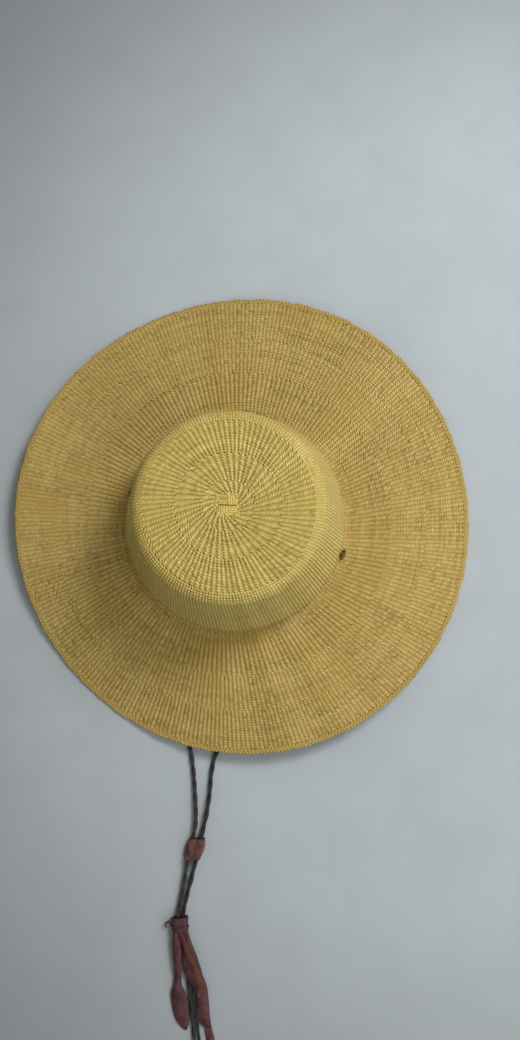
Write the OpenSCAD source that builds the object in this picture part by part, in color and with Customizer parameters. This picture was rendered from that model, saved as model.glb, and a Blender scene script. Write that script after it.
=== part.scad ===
// Wide-brimmed hat twined from grass, with a leather chin strap, slider and tassel.
// It lies brim down: +Z is up through the crown, z = 0 is the surface it lies on,
// X runs along the line through the two strap holes and the strap lies towards -Y.
// The origin is under the middle of the brim.

/* [Crown] */
// Inner radius of the head opening
head_r = 91; // [84:0.5:96]
// Thickness of the twined grass
weave_t = 3; // [2:0.25:3.5]
// Height of the flat top above the surface
crown_h = 105; // [90:1:125]
// Radius of the flat part of the top
flat_r = 65; // [56:0.5:68]
// Radius of the rounded shoulder
shoulder_round = 12; // [8:0.5:16]
// Sideways place of the crown on the brim
crown_x = -2.5; // [-6:0.5:6]
// Front to back place of the crown on the brim
crown_y = -7; // [-10:0.5:4]
// Radius of the small plaited start at the middle of the top
start_r = 6; // [4:0.5:9]

/* [Brim] */
// Mean radius of the brim, with its edge
brim_r = 200.5; // [190:0.5:215]
// Height of the brim's upper side at the foot of the crown
foot_top = 17; // [14:0.5:22]
// Radius at which the crown's foot ends and the brim starts
foot_r = 104; // [103:0.5:108]
// Height of the three waves of the edge
wave_h = 14; // [8:0.5:18]
// Angle of the first low point of the edge
low_at = 6; // [0:1:20]
// How much longer than round the brim is
oval = 2; // [0:0.25:4]
// Angle of the brim's longer way
oval_at = 128; // [100:1:160]
// Share of the brim's width that is in the inner zone
inner_share = 0.5; // [0.35:0.05:0.65]
// Width and height of the plaited edge
edge_size = [5, 4.4]; // [3:0.2:6]

/* [Strap] */
// Diameter of a cord
cord_d = 3.8; // [3:0.2:4.2]
// Distance of the strap holes from the crown's axis
hole_out = 98.5; // [98:0.5:100]
// Radius of a strap hole
hole_r = 2.1; // [2.1:0.1:2.6]
// Radius of a stopper knot
knot_r = 3; // [2.6:0.1:3.4]
// Height of the point that a cord swings about
pivot_z = 6.9; // [6:0.1:8]

/* [Slider] */
// Length of the slider along the cords
slider_l = 17; // [14:0.5:20]
// Widths of the slider, at its ends and at its middle
slider_w = [13, 16]; // [12:0.5:18]
// Thickness of the slider's leather
slider_t = 1.4; // [1:0.1:1.8]
// How much the slider's ends slant, as rise over run
slider_skew = 0.26; // [0:0.02:0.3]
// Inside of the slider's channel, across and in height
channel = [11.3, 4.4]; // [4:0.1:12]
// Middle of the slider along the strap
slider_at = 45.5; // [42:0.5:60]

/* [Tassel] */
// Length of the wrapped collar
collar_l = 10.5; // [8:0.5:14]
// Width and height of the collar
collar_size = [13.8, 8.4]; // [8:0.2:16]
// Thickness of the collar's leather
collar_t = 1; // [0.8:0.1:1.2]
// Direction of the tassel, turned from the X axis
tassel_turn = -70; // [-90:1:-60]
// Thickness of a tassel strip
strip_t = 1.4; // [1:0.1:1.6]

/* [Hidden] */
$fn = 96;

straw = "#b89a55";
straw_light = "#c8ad62";
dark_cord = "#35312f";
red_leather = "#6b3f3a";
flesh_leather = "#9a6238";
thread = "#b9a98c";

edge_steps = 96;
foot_mid = foot_top - weave_t / 2;
wall_r = head_r + weave_t;
fillet = 5;
band_top = foot_top + 10;
hem_round = 2.5;
shoulder_z = crown_h - shoulder_round;
// The wall leans in so that it meets the shoulder's arc as a tangent.
wall_run = [flat_r - wall_r, shoulder_z - band_top];
wall_lean = atan2(wall_run[1], wall_run[0]) - asin(shoulder_round / norm(wall_run)) - 90;
cord_r = cord_d / 2;
cord_low = cord_r + 0.2;
cord_high = 3.6;
gap = 0.3;

// The strap's straight stretch starts here and runs along strap_turn.
strap_from = [35.3, -234];
strap_turn = -87.6;
collar_from = [40.2, -333.9, 0];

left_hole = [crown_x - hole_out, crown_y];
right_hole = [crown_x + hole_out, crown_y];

// Routes of the cords, from the hole, under the brim and along the floor to the collar.
left_route = [
    [left_hole[0], left_hole[1], pivot_z], [-101.5, -14, 5.4], [-101.5, -27, 2.4],
    [-100, -45, cord_low], [-94, -66, cord_low], [-82, -92, cord_low], [-64, -119, cord_low],
    [-43, -145, cord_low], [-22, -168, cord_low], [-3, -187, cord_low], [11, -203, cord_low],
    [19, -220, cord_low], [25, -236, 2.6], [30, -250, cord_high], [32.8, -261, cord_high],
    [33.7, -272, cord_high], [34.5, -289, cord_high], [36, -304, cord_high],
    [37.2, -316, cord_high], [37.8, -326, cord_high], [38.4, -332, cord_high],
    [39.3, -337.2, cord_high]
];
right_route = [
    [right_hole[0], right_hole[1], pivot_z], [96.8, -14, 5.4], [98.5, -27, 2.4],
    [103, -46, cord_low], [105, -70, cord_low], [101.5, -97, cord_low], [92, -124, cord_low],
    [77, -148, cord_low], [59, -167, cord_low], [43.5, -183.5, cord_low],
    [34, -199.5, cord_low], [34, -216, cord_low], [37, -232, 2.6], [39.2, -248, cord_high],
    [39.9, -261, cord_high], [40.3, -272, cord_high], [40.9, -289, cord_high],
    [41.3, -304, cord_high], [41.4, -316, cord_high], [41.9, -326, cord_high],
    [42.5, -331.8, cord_high], [43.3, -336, cord_high]
];

// Routes of the tails, along and across the tassel and in height.
left_tail = [
    [5, -1.65, 2.55], [10, -1.6, 2.55], [20, -0.4, 2.5], [32, 1.4, 2.4], [45, 2.9, 2.3],
    [58, 3.9, 2.2], [70, 4.6, 2.1], [82, 5, 2], [93, 5.2, 1.9], [101, 5.8, 1.8]
];
right_tail = [
    [5, 1.65, 2.55], [10, 1.8, 2.55], [20, 3, 2.5], [32, 4.9, 2.4], [45, 6.6, 2.3],
    [58, 8, 2.2], [70, 8.8, 2.1], [82, 9.3, 2], [93, 9.8, 1.9], [98, 10.4, 1.8]
];

// Points on an arc about c from angle a to angle b.
function arc(c, r, a, b, n = 8) =
    [for (i = [0:n]) let (t = a + (b - a) * i / n) c + r * [cos(t), sin(t)]];

// Radius of the brim's outline and height of its edge's underside at angle a.
function edge_r(a) = brim_r + oval * cos(2 * (a - oval_at));
function wave(a) = wave_h / 2 * (1 - cos(3 * (a - low_at)));

// A point on the brim's middle surface, s from 0 at the crown's foot to 1 at the edge.
function brim_point(s, a) =
    let (
        inner = [crown_x, crown_y] + foot_r * [cos(a), sin(a)],
        outer = (edge_r(a) - edge_size[0]) * [cos(a), sin(a)],
        flat = inner + (outer - inner) * s,
        edge_z = wave(a) + edge_size[1] / 2
    )
    [flat[0], flat[1], foot_mid + (edge_z - foot_mid) * pow(s, 1.6)];

// The brim's cross-section at angle a between two shares of its width.
function brim_section(s0, s1, a, n = 4) = concat(
    [for (i = [0:n]) brim_point(s0 + (s1 - s0) * i / n, a) - [0, 0, weave_t / 2]],
    [for (i = [n:-1:0]) brim_point(s0 + (s1 - s0) * i / n, a) + [0, 0, weave_t / 2]]
);

// The plaited edge's rounded cross-section at angle a.
function edge_section(a) =
    let (
        out = [cos(a), sin(a), 0],
        from = brim_point(1, a) + 0.05 * out,
        w = edge_size[0] - 0.05,
        h = edge_size[1] / 2
    )
    [for (p = [
        [0, -0.7 * h], [0.3 * w, -h], [0.7 * w, -h], [0.95 * w, -0.5 * h],
        [w, 0], [0.95 * w, 0.5 * h], [0.7 * w, h], [0.3 * w, h], [0, 0.7 * h]
    ]) from + p[0] * out + [0, 0, p[1]]];

// A smooth curve through a route's points, with n steps between one point and the next.
function smooth(route, n = 2) =
    let (
        last = len(route) - 1,
        ends = concat([2 * route[0] - route[1]], route, [2 * route[last] - route[last - 1]])
    )
    concat(
        [for (i = [1:last], k = [0:n - 1]) let (
            t = k / n,
            a = ends[i - 1], b = ends[i], c = ends[i + 1], d = ends[i + 2]
        )
        0.5 * (2 * b + (c - a) * t + (2 * a - 5 * b + 4 * c - d) * t * t
            + (3 * b - a - 3 * c + d) * t * t * t)],
        [route[last]]
    );

// Rings of a tube of radius r along a line of points, with a rounded start.
function tube_rings(line, r, sides = 8) =
    let (last = len(line) - 1)
    [for (i = [0:last]) let (
        ahead = line[min(i + 1, last)] - line[max(i - 1, 0)],
        side = cross(ahead, [0, 0, 1]) / norm(cross(ahead, [0, 0, 1])),
        up = cross(side, ahead) / norm(ahead),
        size = i == 0 ? 0.6 * r : r
    )
    [for (k = [0:sides - 1]) let (t = 360 * k / sides)
        line[i] + size * (cos(t) * side + sin(t) * up)]];

// A closed solid through rings of points; loop joins the last ring to the first.
module skin(rings, loop = false) {
    n = len(rings);
    m = len(rings[0]);
    steps = loop ? n : n - 1;
    sides = [for (i = [0:steps - 1], j = [0:m - 1]) let (
        a = i * m + j,
        b = i * m + (j + 1) % m,
        c = ((i + 1) % n) * m + (j + 1) % m,
        d = ((i + 1) % n) * m + j
    ) each [[a, c, b], [a, d, c]]];
    caps = loop ? [] : [[for (j = [0:m - 1]) j], [for (j = [m - 1:-1:0]) (n - 1) * m + j]];
    polyhedron(points = [for (r = rings) each r], faces = concat(sides, caps), convexity = 8);
}

module on_crown() {
    translate([crown_x, crown_y, 0]) children();
}

// Along the slider's own length, which is its Y axis here, with its middle at the origin.
module on_slider() {
    translate(strap_from + slider_at * [cos(strap_turn), sin(strap_turn)])
        rotate(strap_turn + 90) children();
}

// X runs along the tassel from the collar's mouth, and Y across it.
module on_tassel() {
    translate(collar_from) rotate(tassel_turn) children();
}

module start_plait() {
    color(straw_light) on_crown() translate([0, 0, crown_h - weave_t])
        cylinder(r = start_r, h = weave_t);
}

module crown_tip() {
    middle = [flat_r, shoulder_z];
    color(straw_light) on_crown() rotate_extrude() polygon(concat(
        [[start_r + 0.05, crown_h - weave_t]],
        arc(middle, shoulder_round - weave_t, 90, wall_lean),
        arc(middle, shoulder_round, wall_lean, 90),
        [[start_r + 0.05, crown_h]]
    ));
}

module crown_wall() {
    joint = [flat_r, shoulder_z];
    way = [cos(wall_lean), sin(wall_lean)];
    color(straw) on_crown() difference() {
        rotate_extrude() polygon(concat(
            [joint + shoulder_round * way, joint + (shoulder_round - weave_t) * way],
            [[head_r, band_top]],
            arc([head_r + hem_round, foot_top - weave_t + hem_round], hem_round, 180, 270, 4),
            [[foot_r, foot_top - weave_t], [foot_r, foot_top]],
            arc([wall_r + fillet, foot_top + fillet], fillet, 270, 180, 6),
            [[wall_r, band_top]]
        ));
        for (side = [-1, 1])
            translate([side * hole_out, 0, 0]) cylinder(r = hole_r, h = band_top);
    }
}

module brim_zone(s0, s1) {
    skin([for (i = [0:edge_steps - 1]) brim_section(s0, s1, 360 * i / edge_steps)], true);
}

module brim_inner() {
    color(straw) brim_zone(0.001, inner_share);
}

module brim_outer() {
    color(straw) brim_zone(inner_share + 0.0005, 1);
}

module edge_plait() {
    color(straw_light)
        skin([for (i = [0:edge_steps - 1]) edge_section(360 * i / edge_steps)], true);
}

// A stopper knot on the brim, with the cord's end going down through its hole.
module stopper(hole) {
    stub_low = pivot_z + cord_r + gap;
    knot_z = foot_top + 0.4 + knot_r;
    color(dark_cord) translate([hole[0], hole[1], 0]) {
        translate([0, 0, stub_low]) cylinder(r = cord_r, h = knot_z - stub_low);
        translate([0, 0, knot_z]) sphere(r = knot_r);
    }
}

module knot_left() {
    stopper(left_hole);
}

module knot_right() {
    stopper(right_hole);
}

module cord_left() {
    color(dark_cord) skin(tube_rings(smooth(left_route), cord_r));
}

module cord_right() {
    color(dark_cord) skin(tube_rings(smooth(right_route), cord_r));
}

// A slanted outline of the slider's length, with its widths at the ends and at the middle.
module slider_outline(ends, middle) {
    polygon([for (p = [
        [ends, slider_l], [middle, 0.15 * slider_l], [middle, -0.2 * slider_l],
        [ends, -slider_l], [-ends, -slider_l], [-middle, -0.2 * slider_l],
        [-middle, 0.15 * slider_l], [-ends, slider_l]
    ]) [p[0], p[1] + slider_skew * p[0]] / 2]);
}

module slider_back() {
    color(red_leather) on_slider() linear_extrude(slider_t)
        slider_outline(slider_w[0], slider_w[1]);
}

module slider_front() {
    low = slider_t;
    color(red_leather) on_slider() difference() {
        union() {
            translate([0, 0, low]) linear_extrude(slider_t)
                slider_outline(slider_w[0], slider_w[1]);
            translate([0, 0, low]) linear_extrude(channel[1] + slider_t)
                slider_outline(channel[0] + 1.4, channel[0] + 1.4);
        }
        translate([0, 0, low + channel[1] / 2])
            cube([channel[0], 2 * slider_l, channel[1]], center = true);
    }
}

module slider_stitching() {
    color(thread) on_slider() for (side = [-1, 1], k = [-1:1])
        translate([side * 7.1, 2.9 * k + slider_skew * side * 7.1, 2 * slider_t + 0.35])
            rotate([90, 0, 0]) cylinder(r = 0.35, h = 2, center = true, $fn = 16);
}

// A rounded block along the tassel from x0 to x1, of width w and from height z0 to z1.
module rounded_block(x0, x1, w, z0, z1) {
    r = (z1 - z0) / 2 - 0.01;
    translate([x0, 0, (z0 + z1) / 2]) rotate([90, 0, 90]) linear_extrude(x1 - x0) union() {
        square([w - 2 * r, z1 - z0], center = true);
        for (side = [-1, 1]) translate([side * (w / 2 - r), 0]) circle(r);
    }
}

module tassel_collar() {
    inner = collar_size - 2 * [collar_t, collar_t];
    color(red_leather) on_tassel() difference() {
        rounded_block(0, collar_l, collar_size[0], 0, collar_size[1]);
        rounded_block(-1, collar_l + 1, inner[0], collar_t, collar_size[1] - collar_t);
    }
}

// The thong that binds the collar, with its short curled end.
module collar_tie() {
    outer = collar_size + [1.8, 0];
    color(dark_cord) on_tassel() {
        difference() {
            rounded_block(6.6, 8.6, outer[0], 0, outer[1] + 0.9);
            rounded_block(6, 9, collar_size[0] + 0.04, -0.02, collar_size[1] + 0.02);
        }
        translate([5.2, -10.7, 3]) rotate(-70) rotate_extrude(angle = 150)
            translate([2.6, 0]) circle(0.9, $fn = 24);
    }
}

// A flat strip of leather in one layer of the tassel, counted up from the collar's floor.
module strip(layer, outline) {
    on_tassel() translate([0, 0, collar_t + 0.1 + layer * (strip_t + 0.1)])
        linear_extrude(strip_t) polygon(outline);
}

module strip_left() {
    color(red_leather) strip(2, [
        [5, -5.1], [10.6, -5.2], [22, -8], [45, -10.2], [59, -11.4], [72, -11.2],
        [80, -8.5], [86, -3.4], [87, -1.2], [83, 0.6], [75, 0.2], [59, -0.8],
        [47, -2.2], [25, -2.6], [10.6, -0.6], [5, -0.4]
    ]);
}

module strip_right() {
    color(red_leather) strip(2, [
        [5, 0.4], [10.6, 0.6], [30, 4.5], [50, 8.6], [65, 12], [81.7, 17.2],
        [85, 20.8], [70, 20], [57, 19.2], [50, 16.6], [23, 10.8], [10.6, 5.2], [5, 5.1]
    ]);
}

module strip_flesh_side() {
    color(flesh_leather) strip(3, [
        [5, -3.4], [10, -3.4], [22, 2], [38, 7.5], [57, 10.6], [66, 12.6],
        [57, 16], [38, 12.4], [22, 7.6], [10, 1.6], [5, 1.4]
    ]);
}

module strip_under() {
    color(flesh_leather) strip(1, [
        [5, 3.3], [10.6, 3.5], [20, 5], [40, 9], [62, 12.2], [84, 14.2], [97, 15],
        [102, 18.4], [97, 22], [84, 19.4], [60, 16], [38, 11.8], [20, 7.2], [10.6, 5.3], [5, 5.2]
    ]);
}

module tail(route) {
    color(dark_cord) on_tassel() skin(tube_rings(smooth(route), cord_r - 0.4));
}

module tail_left() {
    tail(left_tail);
}

module tail_right() {
    tail(right_tail);
}

start_plait();
crown_tip();
crown_wall();
brim_inner();
brim_outer();
edge_plait();
knot_left();
knot_right();
cord_left();
cord_right();
slider_back();
slider_front();
slider_stitching();
tassel_collar();
collar_tie();
strip_left();
strip_right();
strip_flesh_side();
strip_under();
tail_left();
tail_right();
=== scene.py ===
"""The looks of a hat twined from grass, with its leather chin strap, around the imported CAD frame.

Shapes are worked out in millimetres and turned into metres when a mesh is made.
"""

import math

import bpy
import numpy as np
from mathutils import Matrix, Vector


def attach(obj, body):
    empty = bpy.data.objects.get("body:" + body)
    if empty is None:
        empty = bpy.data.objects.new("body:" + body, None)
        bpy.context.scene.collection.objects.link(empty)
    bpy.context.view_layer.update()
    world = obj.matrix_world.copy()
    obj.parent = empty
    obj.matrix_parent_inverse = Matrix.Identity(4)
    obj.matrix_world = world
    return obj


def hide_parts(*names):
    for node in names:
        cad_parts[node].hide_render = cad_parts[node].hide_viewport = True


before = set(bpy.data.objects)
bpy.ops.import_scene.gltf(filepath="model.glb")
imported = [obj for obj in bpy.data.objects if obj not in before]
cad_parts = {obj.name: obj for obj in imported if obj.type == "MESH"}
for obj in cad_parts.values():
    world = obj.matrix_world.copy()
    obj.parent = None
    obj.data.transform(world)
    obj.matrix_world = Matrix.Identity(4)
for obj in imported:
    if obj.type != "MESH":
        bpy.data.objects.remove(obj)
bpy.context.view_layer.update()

MM = 0.001
UP = np.array([0, 0, 1.0])
RNG = np.random.default_rng(11)

# ---------------------------------------------------------------- camera

CAMERA_LENS = 27.17
CAMERA_AT = (0.0696, -0.0876, 0.6875)
CAMERA_LOOK = (-0.0769, 0.1290, -0.98866)
CAMERA_UP = (-0.2572, 0.9555, 0.1447)

camera_data = bpy.data.cameras.new("Camera")
camera_data.lens = CAMERA_LENS
camera = bpy.data.objects.new("Camera", camera_data)
bpy.context.scene.collection.objects.link(camera)
look = Vector(CAMERA_LOOK).normalized()
right = look.cross(Vector(CAMERA_UP)).normalized()
upward = right.cross(look)
camera_axes = Matrix((right, upward, -look)).transposed().to_4x4()
camera.matrix_world = Matrix.Translation(CAMERA_AT) @ camera_axes
bpy.context.scene.camera = camera


# ---------------------------------------------------------------- mesh helpers


def unit(v):
    """Vectors of length one, along the last axis."""
    return v / np.maximum(np.linalg.norm(v, axis=-1, keepdims=True), 1e-9)


def make_piece(name, points, quads, uv, tone):
    """A smooth mesh object from points in mm, with uv per face corner and a tone per point.

    Nothing goes below the floor.
    """
    points = np.maximum(points, [-np.inf, -np.inf, 0.0])
    mesh = bpy.data.meshes.new(name)
    corners = quads.shape[1]
    mesh.vertices.add(len(points))
    mesh.vertices.foreach_set("co", (points * MM).astype(np.float32).ravel())
    mesh.loops.add(quads.size)
    mesh.loops.foreach_set("vertex_index", quads.astype(np.int32).ravel())
    mesh.polygons.add(len(quads))
    mesh.polygons.foreach_set("loop_start", np.arange(0, quads.size, corners, dtype=np.int32))
    layer = mesh.uv_layers.new(name="Along")
    layer.data.foreach_set("uv", uv.astype(np.float32).ravel())
    colour = mesh.attributes.new("tone", "FLOAT_COLOR", "POINT")
    full = np.ones((len(points), 4), np.float32)
    full[:, : tone.shape[1]] = tone
    colour.data.foreach_set("color", full.ravel())
    mesh.update(calc_edges=True)
    mesh.validate()
    mesh.polygons.foreach_set("use_smooth", np.ones(len(mesh.polygons), bool))
    piece = bpy.data.objects.new(name, mesh)
    bpy.context.scene.collection.objects.link(piece)
    return piece


class Parts:
    """Collects tubes and sheets that go into one mesh."""

    def __init__(self):
        self.points, self.quads, self.uv, self.tone = [], [], [], []
        self.count = 0

    def grid(self, rings, u, v, tone, loop=False, round_=True):
        """Adds a grid of points, rings by sides; loop joins its ends and round_ its sides."""
        n, m = rings.shape[:2]
        i, j = np.meshgrid(
            np.arange(n if loop else n - 1), np.arange(m if round_ else m - 1), indexing="ij"
        )
        i, j = i.ravel(), j.ravel()
        i1, j1 = (i + 1) % n, (j + 1) % m
        self.quads.append(
            np.stack([i * m + j, i * m + j1, i1 * m + j1, i1 * m + j], 1) + self.count
        )
        u0, u1 = u[i], np.append(u, 2 * u[-1] - u[-2])[i + 1]
        v0, v1 = v[j], np.append(v, 2 * v[-1] - v[-2])[j + 1]
        self.uv.append(
            np.stack([np.stack(p, 1) for p in ((u0, v0), (u0, v1), (u1, v1), (u1, v0))], 1)
        )
        self.points.append(rings.reshape(-1, 3))
        self.tone.append(np.broadcast_to(tone, (n, m, 3)).reshape(-1, 3))
        self.count += n * m

    def cap(self, first, sides):
        """Closes a ring of points that starts at number first, with quads across it."""
        for k in range(sides // 2 - 1):
            a, b = first + k, first + sides - 1 - k
            self.quads.append(np.array([[a, a + 1, b - 1, b]]))
            self.uv.append(np.zeros((1, 4, 2)))

    def rod(self, rings, u, v, tone):
        """Adds a grid with round sides, closed at both ends."""
        first, (n, sides) = self.count, rings.shape[:2]
        self.grid(rings, u, v, tone)
        self.cap(first, sides)
        self.cap(first + (n - 1) * sides, sides)

    def piece(self, name):
        """Everything collected so far, as one object."""
        return make_piece(
            name,
            np.concatenate(self.points),
            np.concatenate(self.quads),
            np.concatenate(self.uv),
            np.concatenate(self.tone),
        )


def sweep(line, normal, wide, high, sides=6, loop=False, turn=0.0):
    """Rings of an oval tube along a line; wide and high are its half sizes."""
    ahead = np.roll(line, -1, 0) - np.roll(line, 1, 0) if loop else np.gradient(line, axis=0)
    ahead = unit(ahead)
    side = unit(np.cross(ahead, normal))
    up = np.cross(side, ahead)
    angle = 2 * math.pi * (np.arange(sides) + turn) / sides
    wide, high = np.broadcast_to(wide, len(line)), np.broadcast_to(high, len(line))
    return (
        line[:, None]
        + (wide[:, None] * np.cos(angle))[..., None] * side[:, None]
        + (high[:, None] * np.sin(angle))[..., None] * up[:, None]
    )


def along(line):
    """Distance along a line of points, from its start."""
    steps = np.linalg.norm(np.diff(line, axis=0), axis=1)
    return np.concatenate([[0.0], np.cumsum(steps)])


def smooth(route, n):
    """A smooth curve through a route's points, with n steps between one and the next."""
    p = np.array(route, float)
    p = np.vstack([2 * p[0] - p[1], p, 2 * p[-1] - p[-2]])
    out = []
    for i in range(1, len(p) - 2):
        a, b, c, d = p[i - 1 : i + 3]
        for t in np.arange(n) / n:
            out.append(
                0.5
                * (
                    2 * b
                    + (c - a) * t
                    + (2 * a - 5 * b + 4 * c - d) * t * t
                    + (3 * b - a - 3 * c + d) * t**3
                )
            )
    out.append(p[-2])
    return np.array(out)


def resample(line, step):
    """The same line with even steps."""
    far = along(line)
    count = max(4, int(round(far[-1] / step)))
    even = np.linspace(0, far[-1], count + 1)
    return np.stack([np.interp(even, far, line[:, k]) for k in range(3)], 1)


# ---------------------------------------------------------------- materials


class Nodes:
    """Short calls for building a material's node tree."""

    def __init__(self, name):
        self.material = bpy.data.materials.new(name)
        self.material.use_nodes = True
        self.tree = self.material.node_tree
        self.shader = self.tree.nodes["Principled BSDF"]

    def add(self, kind, **values):
        node = self.tree.nodes.new(kind)
        for key, value in values.items():
            if key in node.inputs and not hasattr(type(node), key):
                node.inputs[key].default_value = value
            else:
                setattr(node, key, value)
        return node

    def link(self, out, into):
        self.tree.links.new(out, into)

    def scaled(self, coordinates, scale):
        """Texture coordinates times a vector."""
        source = self.add("ShaderNodeTexCoord")
        mapping = self.add("ShaderNodeMapping")
        mapping.inputs["Scale"].default_value = scale
        self.link(source.outputs[coordinates], mapping.inputs["Vector"])
        return mapping.outputs["Vector"]

    def noise(self, vector, scale, detail=3.0, rough=0.55):
        """A noise texture's height at a vector."""
        node = self.add("ShaderNodeTexNoise")
        node.inputs["Scale"].default_value = scale
        node.inputs["Detail"].default_value = detail
        node.inputs["Roughness"].default_value = rough
        self.link(vector, node.inputs["Vector"])
        return node.outputs["Fac"]

    def ramp(self, value, stops):
        """A colour ramp; stops are (position, colour)."""
        node = self.add("ShaderNodeValToRGB")
        elements = node.color_ramp.elements
        while len(elements) < len(stops):
            elements.new(0.5)
        for element, (position, colour) in zip(elements, stops):
            element.position = position
            element.color = (*colour, 1.0)
        self.link(value, node.inputs["Fac"])
        return node.outputs["Color"]

    def mix(self, factor, a, b, blend="MIX"):
        """Mixes two colours; each of the three may be a number, a colour or an output."""
        node = self.add("ShaderNodeMix", data_type="RGBA", blend_type=blend)
        for value, socket in ((factor, 0), (a, 6), (b, 7)):
            if isinstance(value, (int, float)):
                node.inputs[socket].default_value = value
            elif isinstance(value, tuple):
                node.inputs[socket].default_value = (*value, 1.0)
            else:
                self.link(value, node.inputs[socket])
        return node.outputs[2]

    def range(self, value, low, high, to_low, to_high):
        """Maps a value from one range to another, and stops at its ends."""
        node = self.add("ShaderNodeMapRange")
        for socket, number in zip(
            ("From Min", "From Max", "To Min", "To Max"), (low, high, to_low, to_high)
        ):
            node.inputs[socket].default_value = number
        self.link(value, node.inputs["Value"])
        return node.outputs["Result"]

    def tone(self):
        """The red, green and blue parts of the mesh's tone attribute."""
        source = self.add("ShaderNodeAttribute", attribute_name="tone")
        split = self.add("ShaderNodeSeparateColor")
        self.link(source.outputs["Color"], split.inputs["Color"])
        return split.outputs["Red"], split.outputs["Green"], split.outputs["Blue"]

    def finish(self, colour, rough, bumps=()):
        """Links colour and roughness, and chains (height, strength, distance) bumps."""
        self.link(colour, self.shader.inputs["Base Color"])
        self.link(rough, self.shader.inputs["Roughness"])
        normal = None
        for height, strength, distance in bumps:
            bump = self.add("ShaderNodeBump")
            bump.inputs["Strength"].default_value = strength
            bump.inputs["Distance"].default_value = distance
            self.link(height, bump.inputs["Height"])
            if normal is not None:
                self.link(normal, bump.inputs["Normal"])
            normal = bump.outputs["Normal"]
        if normal is not None:
            self.link(normal, self.shader.inputs["Normal"])
        return self.material


def straw_material(name, dark, middle, light, stain):
    """Dried grass: each strand has its own tone, with fine fibres along it and odd stained runs,
    and painted shade from the tone's blue part in the weave's hollows.
    """
    m = Nodes(name)
    strand, stitch, painted_shade = m.tone()
    fibres = m.noise(m.scaled("UV", (0.35, 26.0, 1.0)), 1.0, 4.0)
    blotch = m.noise(m.scaled("Object", (1.0, 1.0, 1.0)), 26.0, 3.0)
    base = m.ramp(strand, ((0.0, dark), (0.45, middle), (1.0, light)))
    base = m.mix(m.range(stitch, 0.0, 1.0, 0.0, 0.35), base, light)
    streaks = m.range(fibres, 0.3, 0.7, 0.0, 0.30)
    base = m.mix(streaks, base, dark)
    base = m.mix(m.range(blotch, 0.45, 0.75, 0.0, 0.60), base, stain)
    # Painted shade: the tone's blue part darkens the colour to two thirds where strands dip into
    # the weave's hollows.
    shade = m.range(painted_shade, 0.0, 1.0, 0.66, 1.0)
    grey = m.add("ShaderNodeCombineColor")
    for channel in ("Red", "Green", "Blue"):
        m.link(shade, grey.inputs[channel])
    base = m.mix(1.0, base, grey.outputs["Color"], "MULTIPLY")
    m.shader.inputs["Specular IOR Level"].default_value = 0.42
    m.shader.inputs["Sheen Weight"].default_value = 0.08
    rough = m.range(fibres, 0.2, 0.8, 0.42, 0.62)
    return m.finish(base, rough, ((fibres, 0.35, 0.0003),))


CUT_END = (0.018, 0.018, 0.021)


def leather_material(name, dark, middle, light, worn, rough=(0.38, 0.62), grain=900.0, head=None):
    """Dyed leather: pebbled grain, rubbed lighter in patches, darkened by the tone's green part
    along cut edges and, as painted shade, in a cord's groove.

    The tone's red part turns it to the head colour, if it has one, and near zero to black.
    """
    m = Nodes(name)
    strand, edge, _ = m.tone()
    where = m.scaled("Object", (1.0, 1.0, 1.0))
    cloud = m.noise(where, 130.0, 4.0)
    streak = m.noise(m.scaled("UV", (0.08, 0.9, 1.0)), 1.0, 4.0)
    pebble = m.add("ShaderNodeTexVoronoi")
    pebble.feature = "SMOOTH_F1"
    pebble.inputs["Scale"].default_value = grain
    m.link(where, pebble.inputs["Vector"])
    pores = m.noise(where, grain * 1.7, 2.0)
    base = m.ramp(cloud, ((0.3, dark), (0.5, middle), (0.75, light)))
    base = m.mix(m.range(streak, 0.5, 0.8, 0.0, 0.5), base, worn)
    if head is not None:
        base = m.mix(m.range(strand, 0.3, 0.9, 1.0, 0.0), base, head)
    # The tone's green part: dark cut edges, and painted shade in the groove between a cord's two
    # thongs.
    base = m.mix(m.range(edge, 0.0, 1.0, 0.75, 0.0), base, tuple(0.45 * c for c in dark))
    base = m.mix(m.range(pebble.outputs["Distance"], 0.1, 0.7, 0.0, 0.22), base, dark)
    base = m.mix(m.range(strand, 0.0, 0.2, 0.9, 0.0), base, CUT_END)
    m.shader.inputs["Specular IOR Level"].default_value = 0.24
    return m.finish(
        base,
        m.range(cloud, 0.3, 0.7, *rough),
        ((pebble.outputs["Distance"], 0.30, 0.0004), (pores, 0.22, 0.0003), (streak, 0.3, 0.0006)),
    )


straw = straw_material(
    "Straw", (0.27, 0.180, 0.036), (0.52, 0.375, 0.092), (0.72, 0.560, 0.200), (0.48, 0.320, 0.060)
)
straw_tip = straw_material(
    "StrawTip",
    (0.34, 0.250, 0.044), (0.62, 0.475, 0.112), (0.82, 0.680, 0.240), (0.55, 0.430, 0.080),
)
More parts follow.
